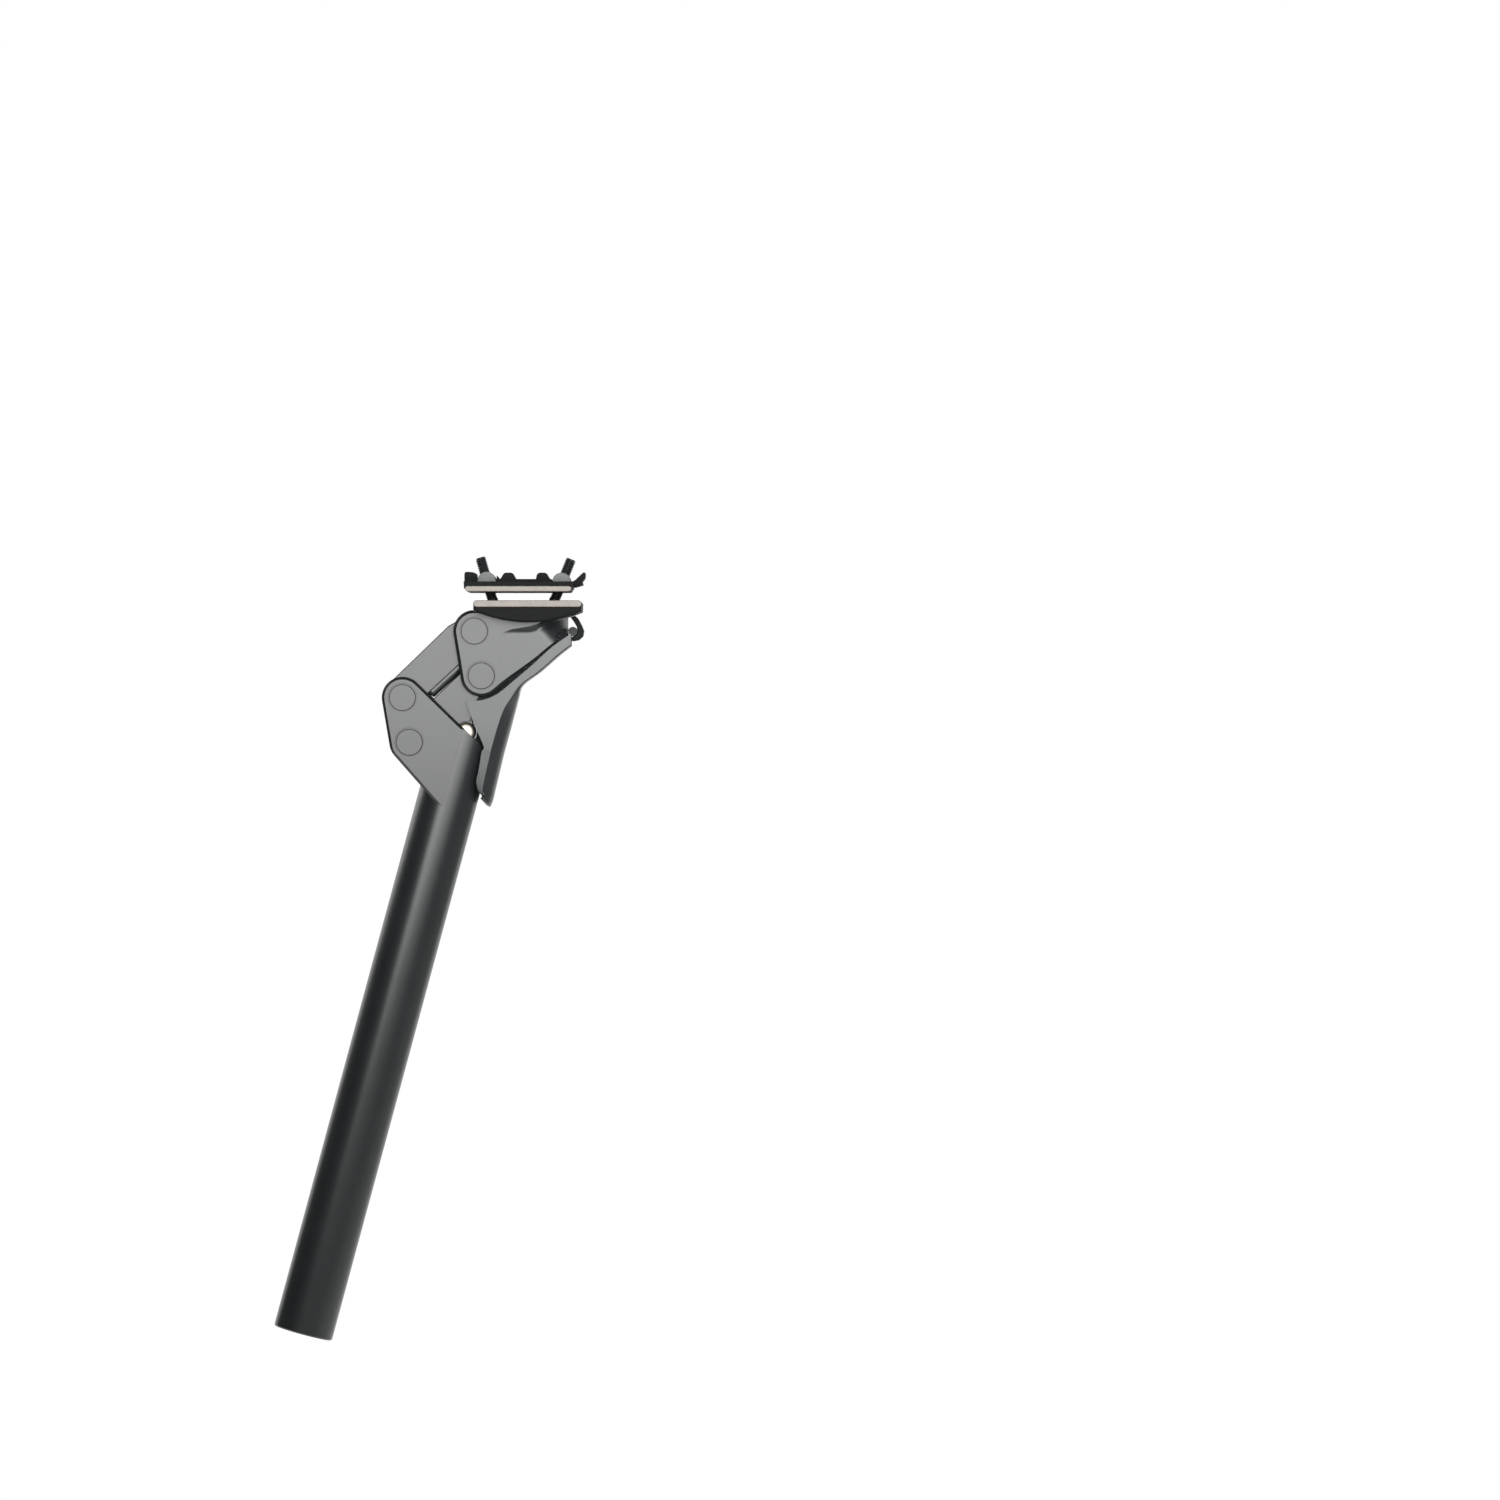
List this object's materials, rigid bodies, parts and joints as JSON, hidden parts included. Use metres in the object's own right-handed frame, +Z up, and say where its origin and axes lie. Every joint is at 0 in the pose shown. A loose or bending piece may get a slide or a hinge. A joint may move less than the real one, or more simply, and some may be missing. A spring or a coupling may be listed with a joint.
{
  "type": "suspension seatpost",
  "caption": "Parallelogram suspension seatpost: round post with forked top, parallel links, spring and plunger inside the tube, rear cover and a tilting saddle-rail clamp.",
  "frame": {"origin": "centre of the round tube's bottom end", "axes": "+Z up in use, +X to the rear of the bicycle, +Y to the rider's left; the tube leans back 15.15 degrees and the saddle rails lie level along X"},
  "size_m": [0.142, 0.055, 0.3573],
  "materials": {
    "satin_anodised_aluminium": "satin black anodised",
    "clamp_aluminium": "satin dark anodised, pale machined lips",
    "dark_aluminium": "satin black anodised",
    "black_steel": "black oxide",
    "polished_steel": "polished",
    "nut_steel": "fine turned",
    "spring_steel": "shot peened",
    "bearing_bronze": "sintered",
    "spacer_polymer": "moulded",
    "cover_polymer": "fine moulded grain",
    "clip_polymer": "moulded",
    "bumper_rubber": "matte"
  },
  "bodies": {
    "post": {"post_body": "satin_anodised_aluminium", "axle_front_upper": "satin_anodised_aluminium", "axle_front_lower": "satin_anodised_aluminium", "axle_screw_front_upper": "black_steel", "axle_screw_front_lower": "black_steel", "plunger_guide": "bearing_bronze", "top_out_bumper": "bumper_rubber", "bottom_out_bumper": "bumper_rubber"},
    "upper_link": {"upper_link": "satin_anodised_aluminium", "bush_front_upper_near": "bearing_bronze", "bush_front_upper_far": "bearing_bronze", "bush_rear_upper_near": "bearing_bronze", "bush_rear_upper_far": "bearing_bronze"},
    "lower_link": {"lower_link": "satin_anodised_aluminium", "roller_pin": "polished_steel", "bush_front_lower_near": "bearing_bronze", "bush_front_lower_far": "bearing_bronze", "bush_rear_lower_near": "bearing_bronze", "bush_rear_lower_far": "bearing_bronze"},
    "rollers": {"roller_near": "polished_steel", "roller_far": "polished_steel"},
    "plunger": {"plunger": "polished_steel", "plunger_pad": "polished_steel"},
    "spring_seat": {"spring_perch": "spacer_polymer", "main_spring": "spring_steel", "inner_spring": "spring_steel"},
    "adjuster": {"preload_adjuster": "dark_aluminium"},
    "head": {"head_body": "satin_anodised_aluminium", "axle_rear_upper": "satin_anodised_aluminium", "axle_rear_lower": "satin_anodised_aluminium", "axle_screw_rear_upper": "black_steel", "axle_screw_rear_lower": "black_steel", "cover": "cover_polymer", "cover_clip": "clip_polymer", "cover_pin": "black_steel"},
    "clamp": {"lower_clamp": "clamp_aluminium", "upper_clamp": "clamp_aluminium"},
    "front_bolt": {"clamp_bolt_front": "black_steel", "bolt_washer_front": "black_steel"},
    "rear_bolt": {"clamp_bolt_rear": "black_steel", "bolt_washer_rear": "black_steel"},
    "front_nut": {"barrel_nut_front": "nut_steel"},
    "rear_nut": {"barrel_nut_rear": "nut_steel"}
  },
  "joints": [
    {"name": "suspension_travel", "type": "hinge", "parent": "post", "child": "upper_link", "pos_m": [0.0457, 0, 0.28931], "axis": [0, 1, 0], "range_deg": [0, 45], "stiffness_Nm_per_rad": 45, "springref_deg": -8.59},
    {"name": "lower_link_hinge", "type": "hinge", "parent": "post", "child": "lower_link", "pos_m": [0.04885, 0, 0.26898], "axis": [0, 1, 0], "range_deg": [0, 45.2]},
    {"name": "head_hinge", "type": "hinge", "parent": "upper_link", "child": "head", "pos_m": [0.07838, 0, 0.31952], "axis": [0, 1, 0], "range_deg": [-45.2, 0]},
    {"name": "plunger_slide", "type": "slide", "parent": "post", "child": "plunger", "axis": [0.2613, 0, 0.9652], "range_m": [-0.0201, 0], "deforming": ["main_spring", "inner_spring"]},
    {"name": "roller_spin", "type": "hinge", "parent": "lower_link", "child": "rollers", "pos_m": [0.0745, 0, 0.27364], "axis": [0, 1, 0], "continuous": true},
    {"name": "preload_slide", "type": "slide", "parent": "post", "child": "spring_seat", "axis": [0.2613, 0, 0.9652], "range_m": [0, 0.008], "deforming": ["main_spring", "inner_spring"]},
    {"name": "preload_turn", "type": "hinge", "parent": "spring_seat", "child": "adjuster", "pos_m": [0, 0, 0], "axis": [0.2613, 0, 0.9652], "range_deg": [0, 1930]},
    {"name": "clamp_tilt", "type": "hinge", "parent": "head", "child": "clamp", "pos_m": [0.10318, 0, 0.38552], "axis": [0, 1, 0], "range_deg": [-4, 4]},
    {"name": "front_bolt_swing", "type": "hinge", "parent": "head", "child": "front_bolt", "pos_m": [0.09268, 0, 0.31152], "axis": [0, 1, 0], "range_deg": [-4.56, 4.56]},
    {"name": "rear_bolt_swing", "type": "hinge", "parent": "head", "child": "rear_bolt", "pos_m": [0.10748, 0, 0.31592], "axis": [0, 1, 0], "range_deg": [-5.04, 5.04]},
    {"name": "front_nut_swing", "type": "hinge", "parent": "clamp", "child": "front_nut", "pos_m": [0.08388, 0, 0.34232], "axis": [0, 1, 0], "range_deg": [-8.56, 8.56]},
    {"name": "rear_nut_swing", "type": "hinge", "parent": "clamp", "child": "rear_nut", "pos_m": [0.11798, 0, 0.34192], "axis": [0, 1, 0], "range_deg": [-9.04, 9.04]}
  ],
  "couplings": [
    {"joint": "lower_link_hinge", "follows": "suspension_travel", "ratio": 1},
    {"joint": "head_hinge", "follows": "suspension_travel", "ratio": -1},
    {"joint": "plunger_slide", "follows": "suspension_travel", "m_per_rad": -0.0254},
    {"joint": "preload_turn", "follows": "preload_slide", "rad_per_m": 4188.8},
    {"joint": "front_bolt_swing", "follows": "clamp_tilt", "ratio": -1.1317},
    {"joint": "rear_bolt_swing", "follows": "clamp_tilt", "ratio": -1.2454},
    {"joint": "front_nut_swing", "follows": "clamp_tilt", "ratio": -2.1317},
    {"joint": "rear_nut_swing", "follows": "clamp_tilt", "ratio": -2.2454}
  ]
}
